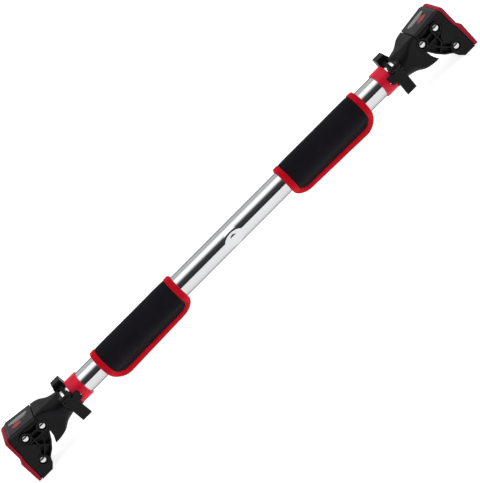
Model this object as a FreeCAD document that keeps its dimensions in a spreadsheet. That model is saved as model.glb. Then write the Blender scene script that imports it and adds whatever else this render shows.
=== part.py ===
import FreeCAD, Part

import math
import os

import Sketcher

# A doorway pull-up bar.  A chromed tube with left- and right-hand threaded ends carries two
# padded grips.  Turning the tube drives a screwed spindle out of each end, and each spindle
# carries a moulded foot with a rubber pad that presses on the door frame.
#
# Frame: millimetres.  X runs along the tube, Z is up in use, -Y faces the user.  The origin is
# on the tube's axis at its middle.  The right-hand (+X) side is built and mirrored to the left.

doc = FreeCAD.newDocument("pull_up_bar")

SIZES = {
    # main tube and the dished rivet at its middle
    "tube_radius": 15.0, "tube_bore": 13.5, "tube_end": 277.5,
    "dish_radius": 23.0, "dish_depth": 1.85, "rivet_radius": 5.2, "rivet_shank": 2.4,
    "rivet_dome": 0.9, "rivet_crown": 3.1, "rivet_crown_up": 0.72, "rivet_inner": 9.0,
    "rivet_room": 0.1, "stop_half": 12.0, "stop_radius": 13.45, "stop_relief": 0.3,
    # screw drive: nut in the tube's end, spindle, keyed lock ring
    "nut_start": 245.0, "nut_bore": 12.06, "nut_flange": 15.6, "flange_end": 279.1,
    "spindle_start": 145.0, "spindle_end": 306.0, "spindle_radius": 12.0,
    "spindle_bore": 8.5, "spindle_flat": 10.8, "stop_ring": 13.3, "stop_width": 3.0,
    # red collar on the tube
    "collar_start": 249.0, "collar_end": 265.8, "collar_radius": 17.0, "collar_lip": 0.8,
    "notch_start": 258.4, "notch_low": -3.4, "notch_high": 8.0,
    # lock ring
    "ring_start": 266.2, "ring_end": 281.0, "ring_radius": 17.5, "ring_bore": 15.06,
    "window_floor": 2.0, "groove_start": 277.3, "groove_end": 279.5, "groove_radius": 15.9,
    "key_half": 10.9, "key_height": 12.2,
    "knob_front": 4.0, "knob_depth": 11.2,
    "lug_width": 2.4, "lug_a": 266.4, "lug_b": 278.0,
    # lock lever and its pin
    "pin_y": -20.2, "pin_z": 12.0, "pin_radius": 1.25, "knuckle_radius": 3.2,
    "knuckle_start": 269.2, "knuckle_end": 277.6, "knuckle_bore": 1.3,
    "lever_start": 265.5, "lever_end": 279.5, "lever_low": -24.3, "lever_high": 7.4,
    "lever_back": -19.6, "lever_thick": 3.0, "arm_thick": 2.4, "arm_lap": 1.5,
    "tab_start": 259.2, "tab_low": -2.6, "tab_high": 7.2, "tab_back": -17.4,
    "spring_start": 270.0, "spring_width": 5.0, "spring_thick": 0.5,
    "spring_low": -20.0, "spring_high": -9.5, "spring_bow": 0.7, "tab_end": 265.3,
    # foot
    "hood_start": 282.2, "foot_half": 17.0, "shell_floor": 11.5, "rib_half": 0.75,
    "rib_sunk": 0.4, "edge_round": 1.0, "cover_round": 1.4, "shell_cavity": 9.5,
    "cover_half": 17.4, "cover_widest": 19.0, "flare_start": 315.5, "flare_end": 356.0,
    "flare_half": 19.0, "panel_half": 11.5, "pad_half": 18.1,
    "boss_radius": 7.5, "boss_proud": 0.8, "boss_seat": 5.7, "seat_depth": 2.2,
    "lug_radius": 8.0, "hood_gap": 8.3, "screw_hole": 2.7,
    "screw_radius": 2.5, "head_radius": 4.7, "head_dome": 3.0, "head_crown": 3.1,
    "head_crown_up": 2.16, "head_lip": 0.3, "nut_flats": 8.0,
    "nut_height": 4.0, "plate_half": 2.0, "plate_slot": 11.6, "post_radius": 5.0,
    "pin_cross": 2.0, "pin_reach": 14.5, "pin_place": 292.0,
    # grips
    "grip_start": 88.9, "grip_end": 219.9, "band": 7.5, "hem": 6.0,
    "wrap_inner": 15.1, "wrap_outer": 18.9, "bind_outer": 19.6,
    "tail_low": -32.6, "tail_half": 3.2, "bind_low": -33.2, "bind_half": 3.9,
    "corner_radius": 15.0, "strip_low": -26.0, "strip_high": -18.5, "strip_thick": 0.8,
    "strip_margin": 14.0, "grip_reach": 40.0,
}

# Outlines in the XZ plane (or YZ where said), right-hand side, counted anticlockwise.
OUTLINES = {
    # foot shells, seen from the front
    "shell": [(315.2, 19.9), (316.0, -5.5), (323.0, -16.0), (331.0, -25.0), (337.5, -29.5),
              (340.0, -31.7), (343.5, -38.4), (349.7, -44.6), (366.3, -44.6), (362.2, -9.6),
              (360.0, -3.0), (357.2, 21.0), (354.4, 24.0)],
    # hollow inside each shell
    "cavity": [(326.0, 17.5), (326.0, -12.0), (333.0, -22.5), (341.5, -28.0), (350.5, -41.0),
               (362.2, -41.0), (359.0, -9.0), (356.8, -3.0), (354.4, 19.8)],
    # sunk field that holds the lattice of ribs
    "field": [(318.0, 18.0), (318.0, -4.6), (324.4, -14.4), (332.2, -23.4), (338.8, -28.0),
              (341.0, -29.6), (342.6, -24.0), (347.0, -19.0), (340.2, -11.5), (338.5, -6.0),
              (341.5, -2.0), (343.8, 0.6), (348.3, 3.8), (350.2, 9.0), (348.2, 14.6),
              (344.0, 18.6), (336.0, 19.4)],
    # plate that closes the top of the foot
    "cover": [(315.5, 22.95), (315.7, 20.0), (354.6, 24.1), (354.4, 25.9), (350.5, 27.3)],
    "panel": [(320.0, 23.62), (320.0, 23.02), (349.0, 26.61), (349.0, 27.21)],
    # red end pad
    "pad": [(354.9, 26.0), (354.9, 24.3), (357.6, 21.2), (360.3, -3.0), (362.5, -9.4),
            (366.5, -43.2), (370.9, -43.2), (368.6, -10.6), (364.6, -5.0), (362.0, 21.4),
            (361.1, 23.9), (358.3, 26.1)],
    # steel plate inside the foot
    "plate": [(306.2, 11.4), (306.2, -9.0), (313.0, -9.0), (315.8, -3.0), (322.2, -9.2),
              (338.2, -20.6), (347.5, -32.0), (356.0, -32.0), (355.0, 0.0), (352.0, 16.5),
              (328.0, 14.5), (328.0, 11.4)],
    # room for that plate in each shell, left of the hollow
    "slot": [(306.0, 11.6), (306.0, -3.6), (316.3, -3.6), (322.0, -9.6), (327.0, -13.2),
             (327.0, 11.6)],
    # part of the hood that is cut away to leave its beak
    "beak_cut": [(313.3, 30.0), (314.2, 19.9), (315.6, -5.5), (317.3, -13.6),
                 (323.2, -24.2), (330.0, -32.0), (330.0, 30.0)],
    # thumb knob on top of the lock ring
    "knob": [(266.2, 23.7), (266.2, 12.5), (281.0, 12.5), (281.0, 18.0), (279.8, 20.0),
             (279.0, 21.9), (278.8, 23.7)],
    # lug on the lock ring that holds the lever's pin, in YZ
    "lug": [(-13.6, 8.2), (-13.0, 15.0), (-20.0, 15.2), (-22.4, 14.3), (-23.4, 12.0),
            (-22.4, 9.7), (-20.0, 8.8)],
}

SCREWS = {"screw_a": (316.9, 6.4), "screw_b": (341.4, 9.6), "screw_c": (348.0, -26.5)}

# ribs of the lattice: start, end
RIBS = {
    "rib_top": ((317.0, 15.7), (337.0, 17.4)),
    "rib_link": ((324.0, 8.0), (336.0, 8.5)),
    "rib_mid": ((319.0, -0.8), (342.5, 0.2)),
    "rib_up": ((335.2, 9.0), (337.2, -9.0)),
    "rib_low": ((337.2, -9.0), (346.5, -21.0)),
    "rib_fan": ((325.0, -0.6), (330.0, -10.5)),
    "rib_run": ((330.0, -10.5), (342.0, -23.5)),
    "rib_cross": ((337.4, -8.8), (328.6, -18.0)),
}

# sections of the hood: distance along X, half depth, half height, corner radius
HOOD_SECTIONS = [
    (282.2, 16.0, 16.0, 15.8), (289.0, 17.0, 17.2, 15.0), (296.0, 17.4, 18.5, 11.0),
    (302.0, 17.5, 21.0, 6.5), (308.0, 17.5, 22.3, 4.0), (315.0, 17.5, 22.9, 2.2),
    (324.0, 17.5, 22.3, 1.6),
]

# windows in the lock ring: from X, to X, from Y, to Y
WINDOWS = {
    "slit": (265.0, 268.9, -13.2, -3.4),
    "window": (273.4, 277.4, -12.8, -0.6),
}

sheet = doc.addObject("Spreadsheet::Sheet", "Sizes")
next_row = 1


def store(alias, value):
    """Put one driving dimension in the sheet under a name."""
    global next_row
    cell = "A" + str(next_row)
    sheet.set(cell, repr(float(value)))
    sheet.setAlias(cell, alias)
    next_row += 1


for alias, value in SIZES.items():
    store(alias, value)
for name, points in OUTLINES.items():
    for index, (across, up) in enumerate(points, 1):
        store(f"{name}_across{index}", across)
        store(f"{name}_up{index}", up)
for name, (across, up) in SCREWS.items():
    store(f"{name}_across1", across)
    store(f"{name}_up1", up)
for name, ends in RIBS.items():
    for index, (across, up) in enumerate(ends, 1):
        store(f"{name}_across{index}", across)
        store(f"{name}_up{index}", up)
for index, section in enumerate(HOOD_SECTIONS, 1):
    for part, value in zip(("along", "depth", "height", "corner"), section):
        store(f"hood_{part}{index}", value)
for name, box in WINDOWS.items():
    for part, value in zip(("left", "right", "front", "back"), box):
        store(f"{name}_{part}", value)
doc.recompute()


def size(alias):
    """Read one dimension back from the sheet."""
    return float(sheet.get(alias))


def new_body(label):
    body = doc.addObject("PartDesign::Body", label)
    body.Label = label
    return body


def new_sketch(body, name, role, offset=None):
    """A sketch on one of the body's own origin planes, moved along its normal by an expression."""
    sketch = body.newObject("Sketcher::SketchObject", name)
    plane = next(item for item in body.Origin.OriginFeatures if item.Role == role)
    sketch.AttachmentSupport = [(plane, "")]
    sketch.MapMode = "FlatFace"
    if offset:
        sketch.setExpression("AttachmentOffset.Base.z", offset)
    return sketch


def bind(sketch, constraint, expression):
    """Add a constraint and tie its value to the sheet."""
    number = sketch.addConstraint(constraint)
    sketch.setExpression(f"Constraints[{number}]", expression)


def draw_polygon(sketch, corners):
    """Closed outline; each corner is (across, across expression, up, up expression)."""
    first = sketch.GeometryCount
    count = len(corners)
    for index in range(count):
        here, there = corners[index], corners[(index + 1) % count]
        start = FreeCAD.Vector(here[0], here[2], 0)
        end = FreeCAD.Vector(there[0], there[2], 0)
        sketch.addGeometry(Part.LineSegment(start, end), False)
    for index in range(count):
        follower = first + (index + 1) % count
        sketch.addConstraint(Sketcher.Constraint("Coincident", first + index, 2, follower, 1))
    for index, (across, across_rule, up, up_rule) in enumerate(corners):
        line = first + index
        bind(sketch, Sketcher.Constraint("DistanceX", -1, 1, line, 1, across), across_rule)
        bind(sketch, Sketcher.Constraint("DistanceY", -1, 1, line, 1, up), up_rule)


def draw_outline(sketch, name):
    """One of the named outlines, tied corner by corner to the sheet."""
    corners = []
    for index in range(1, len(OUTLINES[name]) + 1):
        across, up = f"{name}_across{index}", f"{name}_up{index}"
        corners.append((size(across), f"Sizes.{across}", size(up), f"Sizes.{up}"))
    draw_polygon(sketch, corners)


def draw_box(sketch, left, right, low, high):
    """Rectangle whose sides are given as expressions on the sheet."""
    sides = [(left, low), (right, low), (right, high), (left, high)]
    draw_polygon(sketch, [(work_out(a), a, work_out(b), b) for a, b in sides])


def work_out(expression):
    """Number behind an expression on the sheet, used as a sketch's starting value."""
    return float(sheet.evalExpression(expression))


def draw_circle(sketch, across, up, radius):
    """Circle with its centre and radius given as expressions."""
    centre = FreeCAD.Vector(work_out(across), work_out(up), 0)
    circle = Part.Circle(centre, FreeCAD.Vector(0, 0, 1), work_out(radius))
    number = sketch.addGeometry(circle, False)
    bind(sketch, Sketcher.Constraint("DistanceX", -1, 1, number, 3, centre.x), across)
    bind(sketch, Sketcher.Constraint("DistanceY", -1, 1, number, 3, centre.y), up)
    bind(sketch, Sketcher.Constraint("Radius", number, work_out(radius)), radius)


def feature(body, kind, name, sketch, length, reverse=False, both=False):
    """Pad or Pocket of a sketch by a length given as an expression."""
    item = body.newObject("PartDesign::" + kind, name)
    item.Profile = sketch
    item.setExpression("Length", length)
    item.Reversed = reverse
    item.Midplane = both
    return item


def soften(body, name, radius, chosen):
    """Round the edges of the body so far that pass a test."""
    doc.recompute()
    base = body.Tip
    edges = [f"Edge{number}" for number, edge in enumerate(base.Shape.Edges, 1) if chosen(edge)]
    fillet = body.newObject("PartDesign::Fillet", name)
    fillet.Base = (base, edges)
    fillet.setExpression("Radius", radius)


def on_side(edge, depth):
    """True for an edge that lies in the plane Y = depth."""
    return all(abs(corner.Y - depth) < 1e-6 for corner in edge.Vertexes)


def turned(label, outline):
    """Ring or rod turned about the tube's axis; outline is (along, radius) expressions."""
    body = new_body(label)
    sketch = new_sketch(body, label + "_profile", "XZ_Plane")
    draw_polygon(sketch, [(work_out(a), a, work_out(r), r) for a, r in outline])
    revolution = body.newObject("PartDesign::Revolution", label + "_turn")
    revolution.Profile = sketch
    revolution.ReferenceAxis = (sketch, ["H_Axis"])
    revolution.Angle = 360.0
    return body


def made_shape(label, shape):
    """A piece whose shape is worked out here from the sheet, in its final place."""
    item = doc.addObject("Part::Feature", label)
    item.Label = label
    item.Shape = shape
    return item


def mirror_left(item, label):
    """The same piece at the -X end."""
    twin = doc.addObject("Part::Mirroring", label)
    twin.Label = label
    twin.Source = item
    twin.Base = FreeCAD.Vector(0, 0, 0)
    twin.Normal = FreeCAD.Vector(1, 0, 0)
    return twin


# ---------------------------------------------------------------- tube and middle
def along_x(radius, start, length):
    """Cylinder on the tube's axis; its sizes are expressions."""
    item = doc.addObject("Part::Cylinder", "round_bar")
    item.setExpression("Radius", radius)
    item.setExpression("Height", length)
    item.setExpression("Placement.Base.x", start)
    item.Placement.Rotation = FreeCAD.Rotation(FreeCAD.Vector(0, 1, 0), 90)
    return item


def towards_front(radius, back, length):
    """Cylinder that points to the front (-Y) from a given Y; its sizes are expressions."""
    item = doc.addObject("Part::Cylinder", "front_bar")
    item.setExpression("Radius", radius)
    item.setExpression("Height", length)
    item.setExpression("Placement.Base.y", back)
    item.Placement.Rotation = FreeCAD.Rotation(FreeCAD.Vector(1, 0, 0), 90)
    return item


def ball(name, radius):
    """Ball centred in front of the tube, where the dish's sphere has its centre."""
    item = doc.addObject("Part::Sphere", name)
    item.setExpression("Radius", radius)
    item.setExpression("Placement.Base.y",
                       "Sizes.dish_depth - Sizes.tube_radius - Sizes.dish_radius")
    return item


def joined(kind, label, base, tool):
    """Boolean of two pieces: Cut or Common."""
    item = doc.addObject("Part::" + kind, label)
    item.Base = base
    item.Tool = tool
    item.Label = label
    return item


def make_tube():
    """Chromed tube with a dish pressed in its front at the middle, and a seat for the rivet."""
    tube = along_x("Sizes.tube_radius", "-Sizes.tube_end", "2 * Sizes.tube_end")
    bore = along_x("Sizes.tube_bore", "-Sizes.tube_end", "2 * Sizes.tube_end")
    wall = "Sizes.dish_radius + Sizes.tube_radius - Sizes.tube_bore"
    hollow = joined("Cut", "hollow", bore, ball("dish_back", wall))
    hole = towards_front("Sizes.rivet_shank", "0", "Sizes.tube_radius + 1")
    seat = towards_front("Sizes.rivet_radius + Sizes.rivet_room",
                         "Sizes.dish_depth - Sizes.tube_radius", "Sizes.dish_depth + 1")
    cutters = doc.addObject("Part::MultiFuse", "tube_cutters")
    cutters.Shapes = [hollow, ball("dish", "Sizes.dish_radius"), hole, seat]
    return joined("Cut", "main_tube", tube, cutters)


def make_rivet():
    """Domed rivet in the dish; its shank reaches into the stop inside the tube."""
    seat = size("dish_depth") - size("tube_radius")
    head, shank = size("rivet_radius"), size("rivet_shank")
    dome = size("rivet_dome")
    crown = FreeCAD.Vector(size("rivet_crown"), seat - size("rivet_crown_up"), 0)
    rim = FreeCAD.Vector(head, seat, 0)
    top = FreeCAD.Vector(0, seat - dome, 0)
    foot = FreeCAD.Vector(0, -size("rivet_inner"), 0)
    edges = [Part.Arc(top, crown, rim).toShape(),
             Part.makeLine(rim, FreeCAD.Vector(shank, seat, 0)),
             Part.makeLine(FreeCAD.Vector(shank, seat, 0), FreeCAD.Vector(shank, foot.y, 0)),
             Part.makeLine(FreeCAD.Vector(shank, foot.y, 0), foot),
             Part.makeLine(foot, top)]
    face = Part.Face(Part.Wire(edges))
    solid = face.revolve(FreeCAD.Vector(0, 0, 0), FreeCAD.Vector(0, 1, 0), 360)
    return made_shape("centre_rivet", solid)


def make_centre_stop():
    """Plastic stop that keeps the two spindles apart, relieved behind the dish."""
    block = along_x("Sizes.stop_radius", "-Sizes.stop_half", "2 * Sizes.stop_half")
    hole = towards_front("Sizes.rivet_shank", "-Sizes.rivet_inner", "Sizes.stop_radius")
    relief = ball("stop_room", "Sizes.dish_radius + Sizes.tube_radius - Sizes.tube_bore"
                  " + Sizes.stop_relief")
    cutters = doc.addObject("Part::MultiFuse", "stop_cutters")
    cutters.Shapes = [hole, relief]
    return joined("Cut", "centre_stop", block, cutters)


# ---------------------------------------------------------------- screw drive
def make_tube_nut():
    """Threaded insert pressed into the tube's end, with a flange that holds the lock ring."""
    start, end, flange_end = "Sizes.nut_start", "Sizes.tube_end", "Sizes.flange_end"
    bore, body, flange = "Sizes.nut_bore", "Sizes.tube_bore", "Sizes.nut_flange"
    return turned("right_tube_nut", [
        (start, bore), (flange_end, bore), (flange_end, flange), (end, flange),
        (end, body), (start, body)])


def make_spindle():
    """Hollow screwed spindle with a flat along its front and back for the lock ring's key."""
    start, end = "Sizes.spindle_start", "Sizes.spindle_end"
    outer, bore = "Sizes.spindle_radius", "Sizes.spindle_bore"
    body = turned("right_spindle", [(start, bore), (end, bore), (end, outer), (start, outer)])
    for side in ("", "-"):
        sketch = new_sketch(body, "flat" + side, "YZ_Plane", "Sizes.spindle_start - 1")
        edge, far = f"{side}Sizes.spindle_flat", f"{side}(Sizes.spindle_radius + 2)"
        draw_box(sketch, edge, far, "-Sizes.spindle_radius", "Sizes.spindle_radius")
        feature(body, "Pocket", "flat_cut" + side, sketch,
                "Sizes.spindle_end - Sizes.spindle_start + 2", reverse=True)
    cross = new_sketch(body, "cross_hole", "XY_Plane", "-Sizes.pin_reach")
    draw_circle(cross, "Sizes.pin_place", "0", "Sizes.pin_cross")
    feature(body, "Pocket", "cross_cut", cross, "2 * Sizes.pin_reach", reverse=True)
    return body


def make_spindle_stop():
    """Ring on the spindle's inner end that meets the nut before the screw runs out."""
    start = "Sizes.spindle_start - Sizes.stop_width"
    return turned("right_spindle_stop", [
        (start, "Sizes.spindle_bore"), ("Sizes.spindle_start", "Sizes.spindle_bore"),
        ("Sizes.spindle_start", "Sizes.stop_ring"), (start, "Sizes.stop_ring")])


def make_collar():
    """Red collar pressed on the tube, with a notch in front for the lever's tab."""
    start, end, lip = "Sizes.collar_start", "Sizes.collar_end", "Sizes.collar_lip"
    inner, outer = "Sizes.tube_radius", "Sizes.collar_radius"
    body = turned("right_collar", [
        (start, inner), (end, inner), (end, f"{outer} - {lip}"), (f"{end} - {lip}", outer),
        (start, outer)])
    sketch = new_sketch(body, "notch", "XZ_Plane", "Sizes.tube_radius - 3")
    draw_box(sketch, "Sizes.notch_start", "Sizes.collar_end + 1",
             "Sizes.notch_low", "Sizes.notch_high")
    feature(body, "Pocket", "notch_cut", sketch, "6", reverse=True)
    return body


# ---------------------------------------------------------------- lock ring and lever
def make_lock_ring():
    """Ring that turns on the tube, keyed to the spindle, with a thumb knob and two lugs."""
    start, end = "Sizes.ring_start", "Sizes.ring_end"
    outer, bore = "Sizes.ring_radius", "Sizes.ring_bore"
    groove, groove_a, groove_b = "Sizes.groove_radius", "Sizes.groove_start", "Sizes.groove_end"
    body = turned("right_lock_ring", [
        (start, bore), (groove_a, bore), (groove_a, groove), (groove_b, groove),
        (groove_b, "Sizes.key_half"), (end, "Sizes.key_half"), (end, outer), (start, outer)])

    knob = new_sketch(body, "knob", "XZ_Plane", "Sizes.knob_front * -1")
    draw_outline(knob, "knob")
    feature(body, "Pad", "knob_pad", knob, "Sizes.knob_depth", reverse=True)
    for label in ("lug_a", "lug_b"):
        sketch = new_sketch(body, label, "YZ_Plane", f"Sizes.{label}")
        draw_outline(sketch, "lug")
        feature(body, "Pad", label + "_pad", sketch, "Sizes.lug_width")

    bore_again = new_sketch(body, "bore_again", "YZ_Plane", start)
    draw_circle(bore_again, "0", "0", bore)
    feature(body, "Pocket", "bore_clear", bore_again, f"{groove_b} - {start}", reverse=True)
    groove_again = new_sketch(body, "groove_again", "YZ_Plane", groove_a)
    draw_circle(groove_again, "0", "0", groove)
    feature(body, "Pocket", "groove_clear", groove_again, f"{groove_b} - {groove_a}",
            reverse=True)
    key = new_sketch(body, "key", "YZ_Plane", groove_b)
    draw_box(key, "-Sizes.key_half", "Sizes.key_half", "-Sizes.key_height", "Sizes.key_height")
    feature(body, "Pocket", "key_cut", key, f"{end} - {groove_b} + 1", reverse=True)
    pin = new_sketch(body, "pin_hole", "YZ_Plane", f"{start} - 1")
    draw_circle(pin, "Sizes.pin_y", "Sizes.pin_z", "Sizes.pin_radius")
    feature(body, "Pocket", "pin_cut", pin, f"{end} - {start} + 2", reverse=True)
    for name in WINDOWS:
        sketch = new_sketch(body, name, "XY_Plane", "Sizes.window_floor")
        draw_box(sketch, f"Sizes.{name}_left", f"Sizes.{name}_right", f"Sizes.{name}_front",
                 f"Sizes.{name}_back")
        feature(body, "Pocket", name + "_cut", sketch, outer, reverse=True)
    return body


def make_lock_lever():
    """See-saw lever hung on a pin in front of the ring; its tab drops into the collar."""
    body = new_body("right_lock_lever")
    plate = new_sketch(body, "plate", "XZ_Plane", "-Sizes.lever_back")
    draw_box(plate, "Sizes.lever_start", "Sizes.lever_end", "Sizes.lever_low",
             "Sizes.lever_high")
    feature(body, "Pad", "plate_pad", plate, "Sizes.lever_thick")
    neck = new_sketch(body, "neck", "XZ_Plane", "-Sizes.lever_back")
    draw_box(neck, "Sizes.knuckle_start", "Sizes.knuckle_end", "Sizes.lever_high - 2",
             "Sizes.pin_z")
    feature(body, "Pad", "neck_pad", neck, "Sizes.lever_thick")
    knuckle = new_sketch(body, "knuckle", "YZ_Plane", "Sizes.knuckle_start")
    draw_circle(knuckle, "Sizes.pin_y", "Sizes.pin_z", "Sizes.knuckle_radius")
    feature(body, "Pad", "knuckle_pad", knuckle, "Sizes.knuckle_end - Sizes.knuckle_start")
    arm = new_sketch(body, "arm", "XZ_Plane", "-Sizes.lever_back")
    draw_box(arm, "Sizes.tab_start", "Sizes.lever_start + Sizes.arm_lap", "Sizes.tab_low",
             "Sizes.tab_high")
    feature(body, "Pad", "arm_pad", arm, "Sizes.arm_thick")
    tab = new_sketch(body, "tab", "XZ_Plane", "-Sizes.tab_back")
    draw_box(tab, "Sizes.tab_start", "Sizes.tab_end", "Sizes.tab_low", "Sizes.tab_high")
    feature(body, "Pad", "tab_pad", tab, "Sizes.tab_back - Sizes.lever_back + 0.5")
    hole = new_sketch(body, "knuckle_hole", "YZ_Plane", "Sizes.knuckle_start - 1")
    draw_circle(hole, "Sizes.pin_y", "Sizes.pin_z", "Sizes.knuckle_bore")
    feature(body, "Pocket", "knuckle_cut", hole,
            "Sizes.knuckle_end - Sizes.knuckle_start + 2", reverse=True)
    return body


def make_lever_pin():
    pin = doc.addObject("Part::Cylinder", "right_lever_pin")
    pin.Label = "right_lever_pin"
    pin.setExpression("Radius", "Sizes.pin_radius")
    pin.setExpression("Height", "Sizes.lug_b + Sizes.lug_width - Sizes.lug_a")
    pin.setExpression("Placement.Base.x", "Sizes.lug_a")
    pin.setExpression("Placement.Base.y", "Sizes.pin_y")
    pin.setExpression("Placement.Base.z", "Sizes.pin_z")
    pin.Placement.Rotation = FreeCAD.Rotation(FreeCAD.Vector(0, 1, 0), 90)
    return pin


def make_lever_spring():
    """Bowed leaf of spring steel on the lever's back."""
    back, thick = size("lever_back"), size("spring_thick")
    start, low, high = size("spring_start"), size("spring_low"), size("spring_high")
    ends = [FreeCAD.Vector(start, back, low), FreeCAD.Vector(start, back, high)]
    middle = FreeCAD.Vector(start, back + thick + size("spring_bow"), (low + high) / 2)
    edges = [Part.makeLine(ends[1], ends[0]), Part.Arc(ends[0], middle, ends[1]).toShape()]
    leaf = Part.Face(Part.Wire(edges)).extrude(FreeCAD.Vector(size("spring_width"), 0, 0))
    return made_shape("right_lever_spring", leaf)


# ---------------------------------------------------------------- foot
def rib_corners(name):
    """Corners of one thin rib, as expressions that follow its two ends on the sheet."""
    (x1, z1), (x2, z2) = RIBS[name]
    length = math.hypot(x2 - x1, z2 - z1)
    side_x, side_z = -(z2 - z1) / length, (x2 - x1) / length
    corners = []
    for end, sign in ((1, 1), (1, -1), (2, -1), (2, 1)):
        across = f"Sizes.{name}_across{end} + ({sign * side_x:.4f}) * Sizes.rib_half"
        up = f"Sizes.{name}_up{end} + ({sign * side_z:.4f}) * Sizes.rib_half"
        corners.append((work_out(across), across, work_out(up), up))
    return corners


def make_shell(label, front):
    """Half of the foot: rim, web, lattice of ribs outside, posts and screw seats."""
    body = new_body(label)
    sketch_side = "" if front else "-"
    outline = new_sketch(body, label + "_outline", "XZ_Plane")
    draw_outline(outline, "shell")
    feature(body, "Pad", label + "_block", outline, "Sizes.foot_half", reverse=not front)
    lug = new_sketch(body, label + "_lug", "XZ_Plane")
    draw_circle(lug, "Sizes.screw_a_across1", "Sizes.screw_a_up1", "Sizes.lug_radius")
    feature(body, "Pad", label + "_lug_pad", lug, "Sizes.foot_half", reverse=not front)
    face = size("foot_half") * (-1 if front else 1)
    soften(body, label + "_round", "Sizes.edge_round", lambda edge: on_side(edge, face))

    cavity = new_sketch(body, label + "_cavity", "XZ_Plane")
    draw_outline(cavity, "cavity")
    feature(body, "Pocket", label + "_hollow", cavity, "Sizes.shell_cavity", reverse=front)
    floor = f"{sketch_side}Sizes.shell_floor"
    field = new_sketch(body, label + "_field", "XZ_Plane", floor)
    draw_outline(field, "field")
    feature(body, "Pocket", label + "_sunk", field, "Sizes.foot_half", reverse=front)

    for name in RIBS:
        rib = new_sketch(body, f"{label}_{name}", "XZ_Plane", floor)
        draw_polygon(rib, rib_corners(name))
        feature(body, "Pad", f"{label}_{name}_pad", rib,
                "Sizes.foot_half - Sizes.shell_floor - Sizes.rib_sunk", reverse=not front)
    for name in SCREWS:
        across, up = f"Sizes.{name}_across1", f"Sizes.{name}_up1"
        boss = new_sketch(body, f"{label}_{name}_boss", "XZ_Plane", floor)
        draw_circle(boss, across, up, "Sizes.boss_radius")
        feature(body, "Pad", f"{label}_{name}_boss_pad", boss,
                "Sizes.foot_half - Sizes.shell_floor + Sizes.boss_proud", reverse=not front)
        if name != "screw_a":
            post = new_sketch(body, f"{label}_{name}_post", "XZ_Plane",
                              f"{sketch_side}Sizes.plate_half")
            draw_circle(post, across, up, "Sizes.post_radius")
            feature(body, "Pad", f"{label}_{name}_post_pad", post,
                    "Sizes.shell_floor - Sizes.plate_half", reverse=not front)
        seat_depth = "Sizes.foot_half + Sizes.boss_proud - Sizes.seat_depth"
        seat = new_sketch(body, f"{label}_{name}_seat", "XZ_Plane",
                          f"{sketch_side}({seat_depth})")
        draw_circle(seat, across, up, "Sizes.boss_seat")
        feature(body, "Pocket", f"{label}_{name}_seat_cut", seat, "Sizes.seat_depth + 1",
                reverse=front)
        hole = new_sketch(body, f"{label}_{name}_hole", "XZ_Plane")
        draw_circle(hole, across, up, "Sizes.screw_hole")
        feature(body, "Pocket", f"{label}_{name}_hole_cut", hole, "Sizes.foot_half + 2",
                reverse=front)
    slot = new_sketch(body, label + "_slot", "XZ_Plane")
    draw_outline(slot, "slot")
    feature(body, "Pocket", label + "_slot_cut", slot, "Sizes.plate_half", reverse=front)
    return body


def hood_section(along, half_depth, half_height, corner):
    """Closed wire of one section: a rectangle whose rounding shrinks along the hood."""
    flat_depth, flat_height = half_depth - corner, half_height - corner
    slant = corner * math.sin(math.pi / 4)

    def at(depth, height):
        return FreeCAD.Vector(along, depth, height)

    edges = []
    for side, rise in ((1, 1), (-1, 1), (-1, -1), (1, -1)):
        upright = at(side * half_depth, rise * flat_height)
        level = at(side * flat_depth, rise * half_height)
        middle = at(side * (flat_depth + slant), rise * (flat_height + slant))
        if side * rise > 0:
            edges.append(Part.Arc(upright, middle, level).toShape())
            edges.append(Part.makeLine(level, at(-side * flat_depth, rise * half_height)))
        else:
            edges.append(Part.Arc(level, middle, upright).toShape())
            edges.append(Part.makeLine(upright, at(side * half_depth, -rise * flat_height)))
    return Part.Wire(edges)


def make_hood():
    """Neck hood: round where the spindle enters, square where it meets the shells."""
    rows = [[size(f"hood_{part}{number}") for part in ("along", "depth", "height", "corner")]
            for number in range(1, len(HOOD_SECTIONS) + 1)]
    solid = Part.makeLoft([hood_section(*row) for row in rows], True, False)
    wide = 4 * size("foot_half")
    outline = [FreeCAD.Vector(size(f"beak_cut_across{i}"), -wide / 2, size(f"beak_cut_up{i}"))
               for i in range(1, len(OUTLINES["beak_cut"]) + 1)]
    prism = Part.Face(Part.makePolygon(outline + outline[:1]))
    solid = solid.cut(prism.extrude(FreeCAD.Vector(0, wide, 0)))
    forward = FreeCAD.Vector(0, 1, 0)
    along, up = size("screw_a_across1"), size("screw_a_up1")
    room = Part.makeCylinder(size("hood_gap"), wide, FreeCAD.Vector(along, -wide / 2, up),
                             forward)
    bore = Part.makeCylinder(size("spindle_radius"), size("spindle_end") - size("hood_start"),
                             FreeCAD.Vector(size("hood_start"), 0, 0), FreeCAD.Vector(1, 0, 0))
    reach = size(f"hood_along{len(HOOD_SECTIONS)}") - size("spindle_end")
    plate_room = Part.makeBox(reach, 2 * size("plate_half"), 2 * size("plate_slot"),
                              FreeCAD.Vector(size("spindle_end"), -size("plate_half"),
                                             -size("plate_slot")))
    pin_room = Part.makeCylinder(size("pin_cross"), 2 * size("pin_reach"),
                                 FreeCAD.Vector(size("pin_place"), 0, -size("pin_reach")))
    solid = solid.cut(room).cut(bore).cut(plate_room).cut(pin_room)
    return made_shape("right_neck_hood", solid)


def make_spindle_pin():
    """Steel roll pin through the hood and the spindle."""
    pin = Part.makeCylinder(size("pin_cross"), 2 * size("pin_reach"),
                            FreeCAD.Vector(size("pin_place"), 0, -size("pin_reach")))
    return made_shape("right_spindle_pin", pin)


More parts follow.
